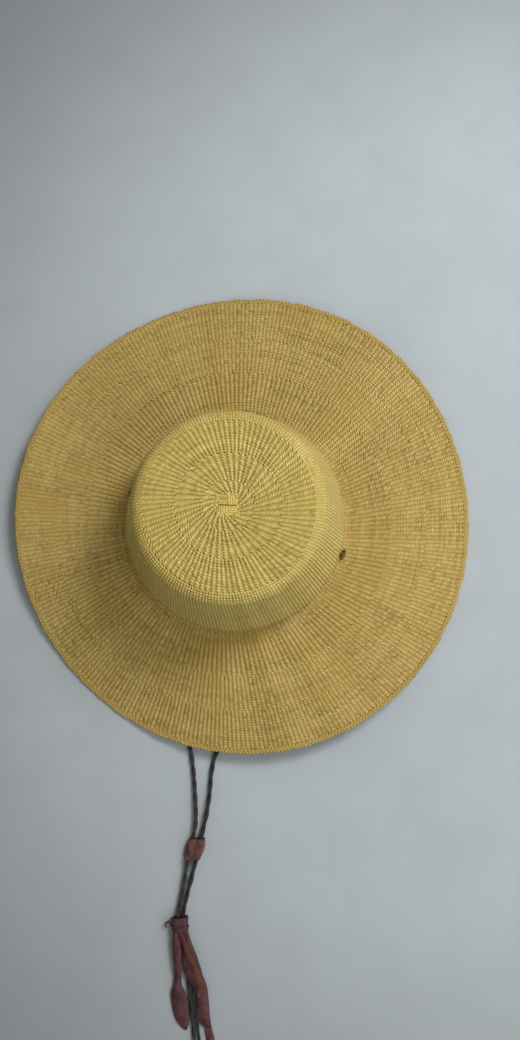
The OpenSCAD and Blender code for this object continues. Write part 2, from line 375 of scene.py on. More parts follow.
# Painted shade: a very dark straw for the core layer, standing in for the shadow in the gaps of the
# weave.
core_shade = straw_material(
    "CoreShade",
    (0.10, 0.062, 0.016), (0.16, 0.105, 0.030), (0.22, 0.150, 0.050), (0.12, 0.075, 0.020),
)
red = leather_material(
    "RedLeather",
    (0.050, 0.019, 0.021), (0.105, 0.040, 0.041), (0.160, 0.067, 0.065), (0.200, 0.087, 0.072),
)
tassel_red = leather_material(
    "TasselLeather",
    (0.036, 0.0135, 0.018), (0.071, 0.0255, 0.033), (0.110, 0.044, 0.052), (0.140, 0.058, 0.059),
)
flesh = leather_material(
    "FleshLeather",
    (0.050, 0.021, 0.015), (0.095, 0.040, 0.026), (0.145, 0.062, 0.035), (0.185, 0.085, 0.043),
    rough=(0.7, 0.9), grain=1500.0,
    head=(0.075, 0.027, 0.026),
)
under_leather = leather_material(
    "UnderLeather",
    (0.050, 0.018, 0.018), (0.100, 0.038, 0.036), (0.150, 0.062, 0.056), (0.185, 0.080, 0.070),
    rough=(0.7, 0.9), grain=1500.0,
)
dark_leather = leather_material(
    "DarkLeather",
    (0.010, 0.011, 0.014), (0.020, 0.021, 0.026), (0.034, 0.034, 0.041), (0.047, 0.045, 0.050),
    rough=(0.36, 0.55), grain=1300.0,
)
warm_leather = leather_material(
    "WarmDarkLeather",
    (0.020, 0.016, 0.018), (0.038, 0.030, 0.034), (0.060, 0.048, 0.053), (0.078, 0.062, 0.066),
    rough=(0.36, 0.55), grain=1300.0,
)
knot_leather = leather_material(
    "KnotLeather",
    (0.080, 0.042, 0.010), (0.170, 0.105, 0.028), (0.260, 0.180, 0.055), (0.300, 0.210, 0.075),
    rough=(0.40, 0.60), grain=1300.0,
)
tie_leather = leather_material(
    "TieLeather",
    (0.026, 0.014, 0.014), (0.050, 0.026, 0.025), (0.075, 0.040, 0.036), (0.090, 0.050, 0.044),
)
thread_material = leather_material(
    "Thread",
    (0.20, 0.150, 0.110), (0.36, 0.290, 0.220), (0.46, 0.390, 0.310), (0.40, 0.330, 0.260),
    rough=(0.6, 0.8), grain=2500.0,
)


def dress(piece, material, slot, body, *nodes):
    """Gives a piece its material and body, and hides the CAD nodes it stands for; slot is not used.
    """
    piece.data.materials.append(material)
    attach(piece, body)
    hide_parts(*nodes)
    return piece


# ---------------------------------------------------------------- the strap's routes

LEFT_ROUTE = [
    [-101, -7, 6.9], [-101.5, -14, 5.4], [-101.5, -27, 2.4], [-100, -45, 2.1],
    [-94, -66, 2.1], [-82, -92, 2.1], [-64, -119, 2.1], [-43, -145, 2.1], [-22, -168, 2.1],
    [-3, -187, 2.1], [11, -203, 2.1], [19, -220, 2.1], [25, -236, 2.6], [30, -250, 3.6],
    [32.8, -261, 3.6], [33.7, -272, 3.6], [34.5, -289, 3.6], [36, -304, 3.6],
    [37.2, -316, 3.6], [37.8, -326, 3.6], [38.4, -332, 3.6], [39.3, -337.2, 3.6],
]
RIGHT_ROUTE = [
    [96, -7, 6.9], [96.8, -14, 5.4], [98.5, -27, 2.4], [103, -46, 2.1], [105, -70, 2.1],
    [101.5, -97, 2.1], [92, -124, 2.1], [77, -148, 2.1], [59, -167, 2.1], [43.5, -183.5, 2.1],
    [34, -199.5, 2.1], [34, -216, 2.1], [37, -232, 2.6], [39.2, -248, 3.6], [39.9, -261, 3.6],
    [40.3, -272, 3.6], [40.9, -289, 3.6], [41.3, -304, 3.6], [41.4, -316, 3.6],
    [41.9, -326, 3.6], [42.5, -331.8, 3.6], [43.3, -336, 3.6],
]
LEFT_TAIL = [
    [5, -1.65, 2.55], [10, -1.6, 2.55], [20, -0.3, 2.5], [32, 1.5, 2.4], [45, 3.0, 2.3],
    [58, 4.0, 2.2], [70, 4.6, 2.1], [82, 5.0, 2], [93, 5.4, 1.9], [101, 6.2, 1.8],
]
RIGHT_TAIL = [
    [5, 1.65, 2.55], [10, 1.8, 2.55], [20, 2.9, 2.5], [32, 4.7, 2.4], [45, 6.3, 2.3],
    [58, 7.5, 2.2], [70, 8.2, 2.1], [82, 8.7, 2], [93, 9.3, 1.9], [98, 10.0, 1.8],
]
CORD_D, TAIL_D = 3.8, 3.0
PLY_APART, PLY_R = 0.14, 0.36  # shares of a cord's diameter
TASSEL_FROM = np.array([40.2, -333.9, 0.0])
TASSEL_TURN = math.radians(-70)
SLIDER_FROM = np.array([35.3, -234.0, 0.0])
SLIDER_TURN = math.radians(-87.6)
SLIDER_AT = 45.5


def turned(points, angle, origin):
    """Points turned about Z and moved to an origin."""
    p = np.asarray(points, float)
    c, s = math.cos(angle), math.sin(angle)
    x, y, z = p[..., 0], p[..., 1], p[..., 2]
    return np.stack([c * x - s * y, s * x + c * y, z], -1) + origin


def on_tassel(points):
    """Points given along the tassel, across it and up, in the hat's frame."""
    return turned(points, TASSEL_TURN, TASSEL_FROM)


def on_slider(points):
    """Points given across the slider, along it and up, in the hat's frame."""
    middle = SLIDER_FROM + SLIDER_AT * np.array([math.cos(SLIDER_TURN), math.sin(SLIDER_TURN), 0])
    return turned(points, SLIDER_TURN + math.pi / 2, middle)


def twisted_thong(parts, line, diameter, lay, frayed=False, sides=14, phase=0.0):
    """A cord of two leather thongs laid round each other.

    Its section is a turning figure of eight, which repeats once in each length of lay. A frayed
    cord runs to a point.
    """
    far = along(line)
    ahead = unit(np.gradient(line, axis=0))
    side = unit(np.cross(ahead, [0, 0, 1.0]))
    up = np.cross(side, ahead)
    apart, ply = PLY_APART * diameter, PLY_R * diameter
    swell = 0.96 + 0.025 * np.sin(far / 7.3 + phase) + 0.015 * np.sin(far / 2.9 + 2 * phase)
    turn = 2 * math.pi * far / lay + phase + 0.5 * np.sin(far / 23.0 + phase)
    psi = 2 * math.pi * np.arange(sides) / sides
    local = psi[None] - turn[:, None] / 2
    reach = np.abs(np.cos(local)) * apart + np.sqrt(ply**2 - (apart * np.sin(local)) ** 2)
    ends = np.minimum(1.0, 0.55 + far / (0.6 * diameter))
    if frayed:
        ends = ends * np.minimum(1.0, 0.25 + (far[-1] - far) / (2.2 * diameter))
    reach = reach * (swell * ends)[:, None]
    rings = (
        line[:, None]
        + (reach * np.cos(psi))[..., None] * side[:, None]
        + (reach * np.sin(psi))[..., None] * up[:, None]
    )
    # Painted shade: the groove between the two thongs is darkened through the tone's green part.
    groove_shade = np.clip((reach / (0.5 * diameter) - 0.60) / 0.3, 0, 1)
    tone = np.stack([np.full_like(groove_shade, 0.5), groove_shade, groove_shade], -1)
    parts.rod(rings, far, psi * diameter / 2, tone)


def make_cord(name, line, diameter, body, node, material, **looks):
    """A cord or a tail as a piece of its own."""
    parts = Parts()
    twisted_thong(parts, line, diameter, **looks)
    return dress(parts.piece(name), material, "dark_leather", body, node)


ROUTE_STEPS, CORD_STEP, TAIL_STEP = 12, 1.1, 1.0
left_line = resample(smooth(LEFT_ROUTE, ROUTE_STEPS), CORD_STEP)
right_line = resample(smooth(RIGHT_ROUTE, ROUTE_STEPS), CORD_STEP)
left_tail_line = on_tassel(resample(smooth(LEFT_TAIL, ROUTE_STEPS), TAIL_STEP))
right_tail_line = on_tassel(resample(smooth(RIGHT_TAIL, ROUTE_STEPS), TAIL_STEP))
cord_left = make_cord(
    "cord_left_thong", left_line, CORD_D, "strap", "cord_left", warm_leather, lay=11.0, phase=0.4
)
cord_right = make_cord(
    "cord_right_thong", right_line, CORD_D, "strap", "cord_right", dark_leather,
    lay=13.0, phase=2.1,
)
tail_left = make_cord(
    "tail_left_thong", left_tail_line, TAIL_D, "tassel", "tail_left", dark_leather,
    lay=17.0, frayed=True,
)
tail_right = make_cord(
    "tail_right_thong", right_tail_line, TAIL_D, "tassel", "tail_right", dark_leather,
    lay=19.0, frayed=True, phase=1.0,
)

# ---------------------------------------------------------------- the hat's surfaces

CROWN = np.array([-2.5, -7.0])
CROWN_H, FLAT_R, SHOULDER, WALL_R, THICK = 105.0, 65.0, 12.0, 94.0, 3.0
FOOT_TOP, FOOT_R, BAND_TOP = 17.0, 104.0, 27.0
BRIM_R, OVAL, OVAL_AT, WAVE, LOW_AT = 200.5, 2.0, 128.0, 14.0, 6.0
EDGE_W, EDGE_H = 5.0, 4.4
START_R = 6.0
SWIRL_R = 6.0
HALF = THICK / 2
FILLET_AT, FILLET_R = (98.0, 21.0), 5.5
PROFILE_STEP, PROFILE_BLUR = 0.25, 13


def crown_profile():
    """The middle line of the crown's grass, from the axis out and down to the brim.

    Gives distances along it, radii, heights, and the distance where the top meets the wall.
    """
    rise = (FLAT_R - WALL_R, CROWN_H - SHOULDER - BAND_TOP)
    lean = math.atan2(rise[1], rise[0]) - math.asin(SHOULDER / math.hypot(*rise)) - math.pi / 2
    bend = np.linspace(math.pi / 2, lean, 40)
    foot = np.linspace(math.pi, 1.5 * math.pi, 24)
    line = [[0, CROWN_H - HALF], [FLAT_R, CROWN_H - HALF]]
    middle_r = SHOULDER - HALF
    line += [
        [FLAT_R + middle_r * math.cos(t), CROWN_H - SHOULDER + middle_r * math.sin(t)]
        for t in bend[1:]
    ]
    joint = len(line)
    line += [[WALL_R - HALF, BAND_TOP]]
    line += [
        [FILLET_AT[0] + FILLET_R * math.cos(t), FILLET_AT[1] + FILLET_R * math.sin(t)]
        for t in foot
    ]
    line += [[FOOT_R, FOOT_TOP - HALF]]
    line = np.array([[*p, 0] for p in line])
    at = along(line)
    even = np.arange(0, at[-1], PROFILE_STEP)
    r, z = np.interp(even, at, line[:, 0]), np.interp(even, at, line[:, 1])
    window, edge = np.ones(PROFILE_BLUR) / PROFILE_BLUR, PROFILE_BLUR // 2
    inside = slice(edge, -edge)
    r[inside], z[inside] = np.convolve(r, window, "valid"), np.convolve(z, window, "valid")
    return even, r, z, at[joint - 1]


PROFILE_V, PROFILE_R, PROFILE_Z, JOINT_V = crown_profile()
PROFILE_END = PROFILE_V[-1]
PROFILE_DR = np.gradient(PROFILE_R, PROFILE_V)
PROFILE_DZ = np.gradient(PROFILE_Z, PROFILE_V)


def crown_surface(v, a):
    """The crown at distance v down its profile and angle a: points, ways down it, and normals."""
    r, z = np.interp(v, PROFILE_V, PROFILE_R), np.interp(v, PROFILE_V, PROFILE_Z)
    dr, dz = np.interp(v, PROFILE_V, PROFILE_DR), np.interp(v, PROFILE_V, PROFILE_DZ)
    c, s = np.cos(a), np.sin(a)
    point = np.stack([CROWN[0] + r * c, CROWN[1] + r * s, z + 0 * a], -1)
    way = unit(np.stack([dr * c, dr * s, dz + 0 * a], -1))
    normal = unit(np.stack([-dz * c, -dz * s, dr + 0 * a], -1))
    return point, way, normal


def crown_radius(v):
    """The crown's radius at distance v down its profile."""
    return np.interp(v, PROFILE_V, PROFILE_R)


def edge_r(a):
    """The brim's outer radius, which is slightly oval."""
    return BRIM_R + OVAL * np.cos(2 * (a - math.radians(OVAL_AT)))


def wave(a):
    """How far the brim's edge rises from the floor, in three waves."""
    return WAVE / 2 * (1 - np.cos(3 * (a - math.radians(LOW_AT))))


def brim_point(s, a):
    """Points on the brim's middle surface, at share s of its width."""
    c, n = np.cos(a), np.sin(a)
    inner = np.stack([CROWN[0] + FOOT_R * c, CROWN[1] + FOOT_R * n], -1)
    outer = np.stack([(edge_r(a) - EDGE_W) * c, (edge_r(a) - EDGE_W) * n], -1)
    flat = inner + (outer - inner) * np.asarray(s + 0 * a)[..., None]
    foot = FOOT_TOP - HALF
    z = foot + (wave(a) + EDGE_H / 2 - foot) * np.maximum(s, 0) ** 1.6
    return np.concatenate([flat, z[..., None]], -1)


def brim_surface(s, a):
    """The brim at share s of its width and angle a: points, ways out, and normals."""
    tiny = 0.002
    way = unit(brim_point(s + tiny, a) - brim_point(np.maximum(s - tiny, 0), a))
    turn = unit(brim_point(s, a + tiny) - brim_point(s, a - tiny))
    return brim_point(s, a), way, unit(np.cross(way, turn))


def brim_radius(s):
    """The brim's mean radius at share s of its width."""
    return FOOT_R + (BRIM_R - EDGE_W - FOOT_R) * s


def swirl(radius):
    """How far round a stake has turned: each one starts as a tangent to a small circle."""
    return -np.arcsin(np.minimum(1.0, SWIRL_R / np.maximum(radius, SWIRL_R)))


# ---------------------------------------------------------------- the weave

SIDES = 4
SLANT = 0.36  # how far a strand moves across its round, as a share of the pitch
CREST, WALL_CREST, TIP_CREST = 0.70, 0.52, 0.60  # how far a strand rises over a stake
SPLICE_RUN = (6, 22)
PHASES = 6.28  # random phases are between 0 and this
STREAK_COUNT, STREAK_SEED = 384, 5
AROUND = np.arange(SIDES) / SIDES * 0.6


def splice_tone(count):
    """One tone for each stitch of a round: a strand lasts a while, then a new one is laid in."""
    out = np.empty(count)
    start, k = int(RNG.integers(0, count)), 0
    while k < count:
        run = int(RNG.integers(*SPLICE_RUN))
        value = np.clip(RNG.normal(0.47, 0.10), 0.02, 1.0)
        for j in range(k, min(count, k + run)):
            out[(start + j) % count] = value
        k += run
    return out


def make_streaks():
    """Tones round the hat: quick changes from stake to stake, and slower ones under them."""
    quick = np.random.default_rng(STREAK_SEED).normal(0, 1, STREAK_COUNT)
    slow = np.convolve(np.tile(quick, 3), np.ones(9) / 3, "same")
    slow = slow[STREAK_COUNT : 2 * STREAK_COUNT]
    return (quick + np.roll(quick, 1)) / 2 + 0.6 * slow


STREAKS = make_streaks()


def streak_tone(angle):
    """Tone that stays the same along a stake and changes from one stake to the next."""
    at = (angle / (2 * math.pi) % 1.0) * STREAK_COUNT
    return np.interp(at, np.arange(STREAK_COUNT + 1), np.append(STREAKS, STREAKS[0]))


def twined_round(parts, surface, v, v_scale, pitch, stakes, offset, steps=3, crest=CREST):
    """One round of weft: two strands that turn about each other, round each stake.

    v_scale turns millimetres across the round into the surface's own measure.
    """
    n = stakes * steps
    i = np.arange(n)
    flat = 2 * math.pi * i / n
    drift = 0.05 * np.sin(3 * flat + RNG.uniform(0, PHASES))
    drift = pitch * (drift + 0.035 * np.sin(7 * flat + RNG.uniform(0, PHASES)))
    a = flat + offset
    round_tone = RNG.normal(0, 0.035)
    stakes_tone = np.repeat(RNG.random(stakes), steps)
    lift = np.repeat(RNG.normal(0, 0.07, stakes), steps)
    lift = (lift + np.roll(lift, 1) + np.roll(lift, -1)) / 3
    for ply in (0, 1):
        theta = math.pi * i / steps + ply * math.pi
        out, across = np.cos(theta), np.sin(theta)
        where = v + (drift + SLANT * pitch * across) * v_scale
        point, way, normal = surface(where, a)
        size = 1 + RNG.normal(0, 0.05, stakes).repeat(steps)
        line = point + normal * ((crest + lift) * out)[:, None]
        wide = pitch * (0.60 + 0.13 * out**2) * size
        high = (0.50 + 0.08 * out**2) * size
        rings = sweep(line, normal, wide, high, SIDES, loop=True, turn=0.5)
        strand = np.repeat(splice_tone(stakes), steps) + round_tone
        strand = strand + RNG.normal(0, 0.11, stakes).repeat(steps) + 0.055 * streak_tone(flat)
        # Painted shade: each strand is darker where it crosses the other between the stakes, in the
        # weave's hollows.
        painted_shade = np.clip((np.abs(out) - 0.35) / 0.65, 0, 1)
        tone = np.stack([np.clip(strand, 0, 1), stakes_tone * 0.8, painted_shade], -1)[:, None, :]
        parts.grid(rings, along(line) + RNG.uniform(0, 500), AROUND, tone, loop=True)


def stake_run(parts, surface, v, stakes, radius_of, wide, high):
    """The stakes that the weft goes round, as flat stems along the surface through distances v."""
    turn = swirl(radius_of(v))
    for k in range(stakes):
        a = 2 * math.pi * k / stakes + turn
        line, _, normal = surface(v, a)
        rings = sweep(line, normal, wide, high, SIDES, turn=0.5)
        # The tone's blue part, 0.35, is painted shade: the stakes are darkened as they lie under
        # the weft.
        tone = np.array([np.clip(RNG.normal(0.3, 0.15), 0, 1), RNG.random() * 0.4, 0.35])
        parts.rod(rings, along(line), AROUND, tone)


def core_sheet(parts, surface, v, thick=0.5, around=192):
    """A thin closed layer in the middle of the weave, so that no light comes through it; its dark
    colour is painted shade, showing in the gaps between the strands.
    """
    a = 2 * math.pi * np.arange(around) / around
    grids = []
    for side in (1, -1):
        rows = [surface(np.full(around, x), a) for x in v]
        grids.append(np.stack([p + side * thick / 2 * n for p, _, n in rows]))
    rings = np.concatenate([grids[0], grids[1][::-1]])
    tone = np.array([0.3, 0.2, 0.3])
    parts.grid(np.swapaxes(rings, 0, 1), a * 90, np.arange(2.0 * len(v)), tone, loop=True)


WALL_STAKES = 192
TIP_STAKES = ((10, 12), (20, 24), (40, 48), (67, 96))  # up to a radius, how many
TIP_WEFT, WALL_WEFT = 2.14, 2.26
BRIM_ROUNDS = 42
FIRST_ROUND = START_R + 2.0
FOOT_ROUNDS = 9


def stakes_at(radius):
    """How many stakes the crown's top has at a radius: they are doubled as they spread."""
    for limit, count in TIP_STAKES:
        if radius < limit:
            return count
    return WALL_STAKES


tip = Parts()
tip_span = JOINT_V - TIP_WEFT / 2 - FIRST_ROUND
for v in np.linspace(FIRST_ROUND, FIRST_ROUND + tip_span, 1 + int(round(tip_span / TIP_WEFT))):
    radius = float(crown_radius(v))
    count = stakes_at(radius)
    steps, turn = 3 if count < WALL_STAKES else 2, float(swirl(radius))
    twined_round(tip, crown_surface, v, 1.0, TIP_WEFT, count, turn, steps, TIP_CREST)
dress(tip.piece("crown_tip_weave"), straw_tip, "straw_light", "hat", "crown_tip")

wall_rounds = int(round((PROFILE_END - JOINT_V) / WALL_WEFT))
wall_pitch = (PROFILE_END - JOINT_V) / wall_rounds
for name, material, rounds in (
    ("crown_wall_weave", straw_tip, range(wall_rounds - FOOT_ROUNDS)),
    ("crown_foot_weave", straw, range(wall_rounds - FOOT_ROUNDS, wall_rounds)),
):
    wall = Parts()
    for k in rounds:
        v = JOINT_V + (k + 0.5) * wall_pitch
        turn = float(swirl(crown_radius(v)))
        twined_round(wall, crown_surface, v, 1.0, wall_pitch, WALL_STAKES, turn, 2, WALL_CREST)
    dress(wall.piece(name), material, "straw", "hat", "crown_wall")

brim_width = BRIM_R - EDGE_W - FOOT_R
brim_pitch = brim_width / BRIM_ROUNDS
for name, node, rounds, count, steps in (
    ("brim_inner_weave", "brim_inner", range(13), 192, 3),
    ("brim_inner_weave_wide", "brim_inner", range(13, 21), 256, 2),
    ("brim_outer_weave", "brim_outer", range(21, 27), 256, 2),
    ("brim_outer_weave_wide", "brim_outer", range(27, BRIM_ROUNDS), 320, 2),
):
    band = Parts()
    for k in rounds:
        s = (k + 0.5) / BRIM_ROUNDS
        turn = float(swirl(brim_radius(s)))
        twined_round(band, brim_surface, s, 1 / brim_width, brim_pitch, count, turn, steps)
    dress(band.piece(name), straw, "straw", "hat", node)

FOOT_SPAN = 14.0
foot_v = np.linspace(PROFILE_END - FOOT_SPAN, PROFILE_END, 15)
wall_v = np.append(np.linspace(40.0, foot_v[0], 18)[:-1], foot_v)
top_v = np.append(np.linspace(0.5, foot_v[0], 34)[:-1], foot_v)
stems = Parts()
stake_run(stems, crown_surface, np.linspace(FIRST_ROUND, 22.0, 6), 12, crown_radius, 0.9, 0.42)
stake_run(stems, crown_surface, np.linspace(20.0, 42.0, 7), 48, crown_radius, 0.85, 0.42)
stake_run(stems, crown_surface, wall_v, 96, crown_radius, 0.95, 0.38)
stake_run(stems, brim_surface, np.linspace(0, 1, 15), 192, brim_radius, 0.9, 0.42)
dress(stems.piece("stakes"), straw, "straw", "hat")

core = Parts()
core_sheet(core, crown_surface, top_v, around=96)
core_sheet(core, brim_surface, np.linspace(0, 1.03, 16))
dress(core.piece("weave_core"), core_shade, "straw", "hat")

# The finished edge: the stakes' ends, turned over and plaited in three along the brim.
EDGE_PLAITS, EDGE_STEPS, EDGE_SIDES = 144, 8, 6
edge = Parts()
edge_n = EDGE_PLAITS * EDGE_STEPS
edge_a = 2 * math.pi * np.arange(edge_n) / edge_n
edge_base, edge_way, edge_normal = brim_surface(np.ones(edge_n), edge_a)
edge_ragged = 0.12 * np.sin(29 * edge_a) + 0.12 * np.sin(61 * edge_a + 1.0)
edge_ragged = edge_ragged + 0.22 * np.sin(131 * edge_a + 2.0)
edge_middle = edge_base + edge_way * (EDGE_W / 2 - 0.45 + edge_ragged)[:, None]
for strand in range(3):
    theta = EDGE_PLAITS * edge_a + 2 * math.pi * strand / 3
    wobble = 1 + 0.12 * np.sin(edge_a * 37 + strand) + 0.08 * np.sin(edge_a * 83 + 2 * strand)
    line = (
        edge_middle
        + edge_way * (1.65 * wobble * np.sin(theta))[:, None]
        + edge_normal * (0.66 * np.sin(2 * theta))[:, None]
    )
    rings = sweep(line, edge_normal, 1.15 * wobble, 0.98, EDGE_SIDES, loop=True, turn=0.5)
    tone_run = np.repeat(splice_tone(EDGE_PLAITS), EDGE_STEPS)
    # Painted shade: each strand of the plait is darker where it goes under the other two.
    painted_shade = 0.25 + 0.60 * (0.5 + 0.5 * np.sin(2 * theta))
    shine = np.repeat(RNG.random(EDGE_PLAITS), EDGE_STEPS) * 0.5
    tone = np.stack([tone_run * 0.62, shine, painted_shade], -1)
    across = np.arange(EDGE_SIDES) / EDGE_SIDES * 0.8
    edge.grid(rings, along(line), across, tone[:, None, :], loop=True)
dress(edge.piece("edge_plait_weave"), straw, "straw_light", "hat", "edge_plait")

# The start: four groups of four flat leaves, each group laid against the side of the next, like
# a pinwheel, and four more groups under them that show inside the crown.
START_TURN, START_GROUPS, LEAVES, LEAF_STEPS, LEAF_SIDES = math.radians(14), 8, 4, 25, 8
LEAF_W, SLIT, LEAF_END = 1.8, 0.36, 9.2
start = Parts()
for group in range(START_GROUPS):
    side = 1 if group < START_GROUPS // 2 else -1
    for leaf in range(LEAVES):
        beside, ahead = (SLIT, 0.0) if group % 2 == 0 else (0.0, SLIT)
        x = np.linspace(ahead, LEAF_END, LEAF_STEPS)
        spread = 1 + 0.035 * np.maximum(x - 5.0, 0)
        y = -(beside + LEAF_W * (leaf + 0.5)) * spread
        far = np.hypot(x, y)
        tuck = 1.5 * np.clip((far - 6.6) / 2.4, 0, 1) ** 2
        tuck = tuck + 0.15 * np.clip((1.2 - x) / 1.2, 0, 1)
        height = np.maximum(0.78 - tuck + 0.10 * np.sin(1.9 * x + 2.0 * leaf + group), -0.5)
        angle = START_TURN + group * math.pi / 2
        line = np.stack([x, y, CROWN_H - HALF + side * height], -1)
        line = turned(line, angle, np.array([*CROWN, 0.0]))
        rings = sweep(line, UP, 0.5 * LEAF_W * 1.04 * spread, 0.40, LEAF_SIDES)
        share = np.arange(LEAF_SIDES) / LEAF_SIDES
        leaf_tone = np.clip(RNG.normal(0.5, 0.10), 0, 1)
        # The tone's blue part paints shade along each leaf's two sides, where it meets its
        # neighbours.
        tone = np.stack([
            np.full(LEAF_SIDES, leaf_tone),
            np.full(LEAF_SIDES, RNG.random() * 0.5),
            1 - 0.45 * np.abs(np.cos(2 * math.pi * share)) ** 2,
        ], -1)
        start.rod(rings, along(line), share * 1.5, tone[None])
dress(start.piece("start_plait_weave"), straw_tip, "straw_light", "hat", "start_plait")

# ---------------------------------------------------------------- knots

KNOT_STRAND, KNOT_SIDES = (1.15, 1.05), 10
STUB_R, STUB_SIDES, STUB_LOW = 1.7, 12, 9.1


def stopper_knot(name, node, hole, shift, lean, flip, size, stub_top):
    """An overhand knot in the end of a cord, pulled down on its hole, with a short cut end.

    The knot lies at a shift from its hole, along the direction lean, and flip says which way it
    is tied. A dark stub in the hole joins it to the cord below.
    """
    parts = Parts()
    middle = np.array([hole[0] + shift[0], hole[1] + shift[1], FOOT_TOP + 2.6 * size])
    t = np.linspace(0, 2 * math.pi, 49)[:-1]
    trefoil = np.stack([
        np.sin(t) + 1.55 * np.sin(2 * t), np.cos(t) - 1.55 * np.cos(2 * t), -np.sin(3 * t)
    ], -1)
    loop = turned(trefoil * np.array([0.58, 1.28, 0.80 * flip]) * size, lean - math.pi / 2, middle)
    wide, high = (size * x for x in KNOT_STRAND)
    rings = sweep(loop, unit(loop - middle), wide, high, KNOT_SIDES, loop=True)
    tone = np.array([0.6, 0.9, 0.9])
    across = np.arange(KNOT_SIDES) * 0.6
    parts.grid(rings, along(loop), across, tone, loop=True)
    stub = np.array([[*hole, z] for z in np.linspace(STUB_LOW, stub_top, 9)])
    rings = sweep(stub, np.array([0, 1.0, 0]), STUB_R, STUB_R, STUB_SIDES)
    parts.rod(rings, along(stub), np.arange(1.0 * STUB_SIDES), tone * [0, 1, 1])
    out = np.array([math.cos(lean), math.sin(lean), 0])
    bend = ((0.5, 0.3), (2.4, 0.6), (3.8, 0.1), (4.9, -0.7))
    tail = smooth([middle + size * (out * d + [0, 0, h]) for d, h in bend], 6)
    thin = size * np.linspace(1.2, 0.9, len(tail))
    parts.rod(sweep(tail, UP, thin, thin * 0.8, KNOT_SIDES), along(tail), across, tone)
    return dress(parts.piece(name), knot_leather, "dark_leather", "hat", node)


stopper_knot(
    "knot_left_overhand", "knot_left", (-101.0, -7.0), (2.8, 0.0), math.radians(92), 1, 0.56, 15.6
)
stopper_knot(
    "knot_right_overhand", "knot_right", (96.0, -7.0), (-2.0, -3.2), math.radians(264), -1,
    1.0, 15.2,
)

# ---------------------------------------------------------------- slider

SLIDER_L, SLIDER_ENDS, SLIDER_MIDDLE, SLIDER_SKEW = 17.0, 13.0, 16.0, 0.26
LEATHER = 1.4


def ease(x):
    """A smooth step from 0 to 1."""
    x = np.clip(x, 0, 1)
    return x * x * (3 - 2 * x)


def slider_half_width(y):
    """Half the slider's width at distance y from its middle."""
    t = y / (SLIDER_L / 2)
    rise = np.where(t > 0, (1 - t) / 0.85, (1 + t) / 0.8)
    return (SLIDER_ENDS + (SLIDER_MIDDLE - SLIDER_ENDS) * ease(rise)) / 2


def closed_sheet(name, top, bottom, uv_scale=1.0, strand=0.5):
    """One closed piece from two grids of points, the upper and the lower side of a sheet.

    Its tone is dark along the cut edges.
    """
    rows, columns = top.shape[:2]
    rings = np.concatenate([top, bottom[:, ::-1]], 1)
    across = np.linspace(0, 1, columns)
    edge_far = np.minimum(across, 1 - across) * 2
    ends_far = np.minimum(np.linspace(0, 1, rows), np.linspace(1, 0, rows)) * 2
    near = np.minimum(edge_far[None] * 5, ends_far[:, None] * 9)
    near = np.clip(np.concatenate([near, near[:, ::-1]], 1), 0, 1)
    strand = np.reshape(strand, (-1, 1)) * np.ones_like(near)
    tone = np.stack([strand, near, np.ones_like(near)], -1)
    v = np.concatenate([across, 1.22 + 0.98 * across]) * 8
    parts = Parts()
    parts.rod(rings, np.linspace(0, 20, rows) * uv_scale, v, tone)
    return parts.piece(name)


slider_y = np.linspace(-1, 1, 31) * SLIDER_L / 2
slider_x = np.sin(np.linspace(-1, 1, 41) * math.pi / 2)
gy, gt = np.meshgrid(slider_y, slider_x, indexing="ij")
gx = gt * slider_half_width(gy)
wrinkle = 0.10 * np.sin(gx * 1.3 + gy * 0.7) + 0.08 * np.sin(gy * 1.9 - gx * 0.6)
dip = 0.50 * np.clip(1 - (gx / 2.6) ** 2, 0, 1)
ends_flare = 0.35 * ease((np.abs(gy) - 6.5) / 2.0)
rim = 0.35 * np.clip((np.abs(gt) - 0.93) / 0.07, 0, 1)
front_top = 2.8 + 3.9 * ease((6.95 - np.abs(gx)) / 1.7) - dip + ends_flare + wrinkle - rim
front_low = 1.45 + 4.2 * ease((6.3 - np.abs(gx)) / 1.3) + ends_flare
front_low = np.minimum(front_low, front_top - 0.45)
skewed = gy + SLIDER_SKEW * gx
slider_front = closed_sheet(
    "slider_front_leather",
    on_slider(np.stack([gx, skewed, front_top], -1)),
    on_slider(np.stack([gx * 0.985, skewed, front_low], -1)),
)
dress(slider_front, red, "red_leather", "slider", "slider_front")
back_top = LEATHER + 0 * gx
back_low = 0.05 + 0.35 * np.clip((np.abs(gt) - 0.9) / 0.1, 0, 1)
slider_back = closed_sheet(
    "slider_back_leather",
    on_slider(np.stack([gx, skewed, back_top], -1)),
    on_slider(np.stack([gx * 0.99, skewed, back_low], -1)),
)
dress(slider_back, red, "red_leather", "slider", "slider_back")

STITCH_PITCH, STITCH_IN, STITCH_HALF, STITCH_SIDES = 2.15, 0.75, 0.85, 8
stitches = Parts()
t = np.linspace(-1, 1, 9)
stitch_height = 2.98 + 0.25 * (1 - t**4) - 0.5 * t**8
for side in (-1, 1):
    for k in range(-2, 3):
        y0 = STITCH_PITCH * k
        x0 = side * (float(slider_half_width(np.array(y0))) - STITCH_IN)
        y = y0 + SLIDER_SKEW * x0 + STITCH_HALF * t
        line = on_slider(np.stack([x0 + 0.18 * side * t, y, stitch_height], -1))
        rings = sweep(line, UP, 0.36, 0.30, STITCH_SIDES)
        stitches.rod(
            rings, along(line), np.arange(STITCH_SIDES) * 0.3, np.array([0.5, 0.9, 1.0])
        )
slider_thread = dress(
    stitches.piece("slider_stitching_thread"), thread_material, "thread", "slider",
    "slider_stitching",
)

# ---------------------------------------------------------------- tassel

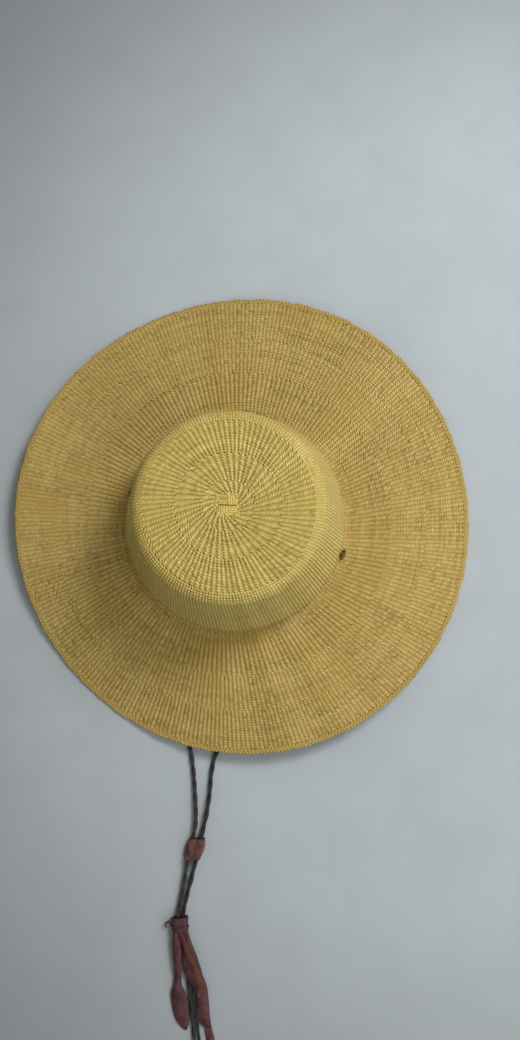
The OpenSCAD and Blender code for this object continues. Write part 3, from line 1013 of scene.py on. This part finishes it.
COLLAR_L, COLLAR_W, COLLAR_H, COLLAR_T, COLLAR_SIDES = 10.5, 13.8, 8.4, 1.0, 56
TIE_AT, TIE_TURNS, TIE_SIDES = 8.3, 1.97, 10
CURL_STEPS, TAPER_STEPS = 34, 12  # the tie is thicker, and then tapers, this near its end


def collar_ring(u, inset, angles):
    """A ring of the collar's wall at distance u from its mouth, inset by part of its thickness.

    The collar is a rounded box, drawn in at its waist by the tie and flared at its mouth.
    """
    waist = math.exp(-(((u - 7.5) / 1.5) ** 2))
    flare = 0.60 * math.exp(-((u / 1.6) ** 2))
    low, high = 1.45 * waist, COLLAR_H - 0.35 * waist
    half_w = COLLAR_W / 2 - 0.45 * waist - 0.2 + flare - inset
    half_h = (high - low) / 2 - inset
    c, s = np.cos(angles), np.sin(angles)
    power = 2 / 2.7
    y = half_w * np.sign(c) * np.abs(c) ** power
    z = (low + high) / 2 + half_h * np.sign(s) * np.abs(s) ** power
    crease = 0.12 * np.sin(5 * angles + 0.9 * u) + 0.09 * np.sin(9 * angles - 0.7 * u)
    shrink = 1 + crease / 7 * (1 if inset == 0 else 0.3)
    return np.stack([np.full_like(y, u), y * shrink, np.maximum(z, 0.02 + inset)], -1)


angles = 2 * math.pi * np.arange(COLLAR_SIDES) / COLLAR_SIDES
outside = np.linspace(0.6, COLLAR_L - 0.6, 17)
outside = np.concatenate([[0.0, 0.15], outside, [COLLAR_L - 0.15, COLLAR_L]])
walls = [(u, 0.35 if i in (0, len(outside) - 1) else 0.0) for i, u in enumerate(outside)]
walls += [(u, COLLAR_T) for u in np.linspace(COLLAR_L - 0.3, 0.3, 12)]
collar_rings = np.stack([on_tassel(collar_ring(u, inset, angles)) for u, inset in walls])
collar_near = np.array([0.0 if u < 0.3 or u > COLLAR_L - 0.3 else 1.0 for u, _ in walls])
collar_tone = np.stack([np.full_like(collar_near, 0.5), collar_near, np.ones_like(collar_near)], -1)
collar_parts = Parts()
collar_parts.grid(
    collar_rings, np.linspace(0, 20, len(walls)), angles * 5, collar_tone[:, None], loop=True
)
collar = dress(
    collar_parts.piece("tassel_collar_leather"), tassel_red, "red_leather", "tassel",
    "tassel_collar",
)

tie_t = np.linspace(0, 1, 97)
tie_angle = math.pi - 0.5 + tie_t * 2 * math.pi * TIE_TURNS
tie_c, tie_s = np.cos(tie_angle), np.sin(tie_angle)
tie_line = np.stack([
    TIE_AT - 1.6 * tie_t,
    (COLLAR_W / 2 - 0.1) * np.sign(tie_c) * np.abs(tie_c) ** 0.8,
    4.75 + 3.9 * np.sign(tie_s) * np.abs(tie_s) ** 0.8,
], -1)
tie_line[:, 2] = np.maximum(tie_line[:, 2], 0.85)
curl_line = smooth([
    [6.2, -7.3, 4.4], [4.2, -7.9, 4.6], [3.2, -9.2, 4.4], [3.5, -10.9, 4.0], [5.0, -12.1, 3.6],
    [6.9, -12.2, 3.3], [8.1, -11.4, 3.1],
], 6)
tie_path = on_tassel(resample(np.concatenate([tie_line, curl_line]), 0.5))
tie_left = len(tie_path) - np.arange(len(tie_path))
tie_taper = 0.3 * np.clip((TAPER_STEPS - tie_left) / TAPER_STEPS, 0, 1)
tie_size = np.where(tie_left > CURL_STEPS, 0.58, 0.78) - tie_taper
tie_parts = Parts()
tie_parts.rod(
    sweep(tie_path, UP, tie_size, tie_size * 0.9, TIE_SIDES), along(tie_path),
    np.arange(TIE_SIDES) * 0.5, np.array([0.5, 0.9, 0.8]),
)
tie = dress(
    tie_parts.piece("collar_tie_thong"), tie_leather, "dark_leather", "tassel", "collar_tie"
)

STRIP_STEPS, STRIP_COLUMNS = 9, 19


def strip(name, node, material, slot, stations, seed, thick=1.2):
    """A strip of leather along stations of [along, across, height, width, cup, roll in degrees].

    The seed sets its waves.
    """
    rows = smooth(np.array(stations, float), STRIP_STEPS)
    middle, width, cup, roll = rows[:, :3], rows[:, 3], rows[:, 4], np.radians(rows[:, 5])
    width = np.maximum(width, 0.5)
    far = along(middle)
    ahead = unit(np.gradient(middle, axis=0))
    side = unit(np.cross([0, 0, 1.0], ahead))
    up = np.cross(ahead, side)
    c, s = np.cos(roll)[:, None], np.sin(roll)[:, None]
    side, up = c * side + s * up, c * up - s * side
    x = np.sin(np.linspace(-1, 1, STRIP_COLUMNS) * math.pi / 2)[None]
    at, share = far[:, None], np.minimum(1, width[:, None] / 6)
    bend = cup[:, None] * (1 - x**2)
    bend = bend + 0.28 * np.sin(at * 0.31 + 2.3 * x + seed) * share
    bend = bend + 0.10 * np.sin(at * 0.9 - 3.7 * x + 2 * seed)
    thin = thick / 2 * (1 - 0.55 * np.abs(x) ** 6) * np.ones_like(bend)
    spot = middle[:, None] + (x * width[:, None] / 2)[..., None] * side[:, None]
    top = spot + (bend + thin)[..., None] * up[:, None]
    low = spot + (bend - thin)[..., None] * up[:, None]
    top[..., 2], low[..., 2] = np.maximum(top[..., 2], 0.3), np.maximum(low[..., 2], 0.05)
    strand = 0.3 + 0.6 * ease((far - 6.0) / 30.0)
    piece = closed_sheet(name, on_tassel(top), on_tassel(low), far[-1] / 20, strand)
    return dress(piece, material, slot, "tassel", node)


strip("strip_left_leather", "strip_left", tassel_red, "red_leather", [
    [5.0, -2.6, 5.7, 5.2, 0.8, -12], [7.5, -2.8, 5.6, 5.4, 0.8, -12],
    [11.5, -3.0, 5.7, 6.4, 1.0, -10],
    [22, -3.5, 5.3, 8.0, 1.4, -6], [34, -3.7, 4.6, 6.9, 1.4, -4], [45, -4.6, 3.2, 5.7, 1.2, 0],
    [52, -5.3, 2.4, 6.6, 1.2, 0], [58, -5.5, 1.9, 11.0, 1.3, 0], [65, -4.7, 1.5, 13.4, 1.5, 0],
    [72, -3.9, 1.3, 13.0, 1.6, 0], [79, -2.7, 1.2, 10.8, 1.4, 0], [84, -1.6, 1.0, 6.8, 0.9, 0],
    [87, -0.8, 0.8, 2.0, 0.2, 0],
], 0.3)
strip("strip_right_leather", "strip_right", tassel_red, "red_leather", [
    [5.0, 2.6, 5.2, 4.8, 0.8, 12], [7.5, 2.8, 5.2, 5.0, 0.8, 12], [11.5, 3.4, 5.4, 6.2, 1.0, 10],
    [22, 4.9, 5.5, 8.8, 1.3, 6], [33, 6.6, 5.2, 12.6, 1.4, 4], [40, 7.6, 4.8, 14.2, 1.4, 2],
    [47, 9.8, 4.4, 12.6, 1.4, 0], [51, 11.7, 4.1, 11.4, 1.4, 0], [56, 13.6, 3.8, 10.6, 1.5, 0],
    [61, 14.1, 3.4, 10.1, 1.6, 0],
    [71, 14.5, 2.7, 9.6, 1.5, -2], [79, 14.6, 2.2, 9.4, 1.2, -4], [83, 16.4, 1.9, 7.0, 0.8, -4],
    [85.8, 19.2, 1.6, 1.8, 0.1, -4],
], 1.7)
strip("strip_flesh_side_leather", "strip_flesh_side", flesh, "flesh_leather", [
    [5.0, -0.6, 6.9, 4.2, 0.3, 0], [8, -0.4, 6.9, 4.2, 0.4, 0], [12, 0.6, 7.4, 4.4, 0.6, 4],
    [20, 3.2, 7.6, 4.8, 0.9, 8], [28, 5.8, 7.3, 5.6, 1.0, 10], [38, 9.6, 6.7, 6.6, 1.0, 10],
    [47, 12.3, 5.9, 6.4, 0.9, 8], [53, 13.3, 5.4, 6.6, 0.7, 4], [59.5, 12.1, 5.0, 4.0, 0.3, 0],
    [63.5, 11.4, 4.6, 1.0, 0.0, 0],
], 2.6, thick=1.3)
strip("strip_under_leather", "strip_under", under_leather, "flesh_leather", [
    [5, 4.2, 3.2, 1.9, 0.1, 0], [10.6, 4.5, 3.1, 1.9, 0.1, 0], [20, 6.3, 2.6, 2.4, 0.1, 0],
    [40, 10.6, 1.5, 3.4, 0.2, 0], [60, 14.0, 0.9, 4.2, 0.2, 0], [76, 16.0, 0.8, 5.0, 0.3, 0],
    [86, 17.0, 0.9, 5.6, 0.4, 0], [95, 18.2, 0.9, 6.6, 0.4, 0], [100, 18.5, 0.9, 4.6, 0.3, 0],
    [102.4, 18.5, 0.8, 1.2, 0.0, 0],
], 4.1)

# ---------------------------------------------------------------- floor and light

FLOOR_HALF = 3
FLOOR_COLOUR, FLOOR_CLOUD = (0.40, 0.455, 0.50), (0.18, 0.19, 0.22)
WORLD_COLOUR, WORLD_STRENGTH = (1.0, 0.95, 0.82, 1.0), 0.34

floor_mesh = bpy.data.meshes.new("floor")
floor_mesh.from_pydata(
    [(x * FLOOR_HALF, y * FLOOR_HALF, 0) for x, y in ((-1, -1), (1, -1), (1, 1), (-1, 1))],
    [],
    [(0, 1, 2, 3)],
)
floor = bpy.data.objects.new("floor", floor_mesh)
bpy.context.scene.collection.objects.link(floor)
floor_nodes = Nodes("Floor")
floor_where = floor_nodes.add("ShaderNodeTexCoord").outputs["Object"]
# Painted light: the floor is darkened with distance from a spot near the hat, a painted pool of
# light that fades out to the sides.
floor_far = floor_nodes.add("ShaderNodeVectorMath", operation="DISTANCE")
floor_far.inputs[1].default_value = (0.17, 0.06, 0.0)
floor_nodes.link(floor_where, floor_far.inputs[0])
painted_light_falloff = floor_nodes.range(floor_far.outputs["Value"], 0.28, 0.72, 0.0, 0.50)
painted_light_falloff.node.interpolation_type = "SMOOTHSTEP"
cloud = floor_nodes.range(floor_nodes.noise(floor_where, 16.0, 4.0), 0.4, 0.65, 0.0, 0.09)
floor_colour = floor_nodes.mix(painted_light_falloff, FLOOR_COLOUR, (0.0, 0.0, 0.0))
floor_colour = floor_nodes.mix(cloud, floor_colour, FLOOR_CLOUD)
floor_nodes.shader.inputs["Roughness"].default_value = 0.9
floor_nodes.link(floor_colour, floor_nodes.shader.inputs["Base Color"])
floor_mesh.materials.append(floor_nodes.material)


def area_light(name, place, target, energy, size, colour):
    """A square soft light, aimed at a target."""
    light = bpy.data.lights.new(name, "AREA")
    light.energy, light.size, light.color = energy, size, colour
    lamp = bpy.data.objects.new(name, light)
    lamp.location = place
    lamp.rotation_euler = (Vector(target) - Vector(place)).to_track_quat("-Z", "Y").to_euler()
    bpy.context.scene.collection.objects.link(lamp)


area_light("Key", (0.62, 0.92, 1.20), (0.0, 0.0, 0.0), 19.5, 0.55, (1.0, 0.975, 0.96))
area_light("Fill", (1.05, -0.45, 0.95), (0.1, -0.1, 0.0), 7.5, 1.2, (1.0, 0.985, 0.97))
world = bpy.data.worlds.new("World")
world.use_nodes = True
background = world.node_tree.nodes["Background"]
background.inputs["Color"].default_value = WORLD_COLOUR
background.inputs["Strength"].default_value = WORLD_STRENGTH
bpy.context.scene.world = world
bpy.context.scene.view_settings.view_transform = "Standard"
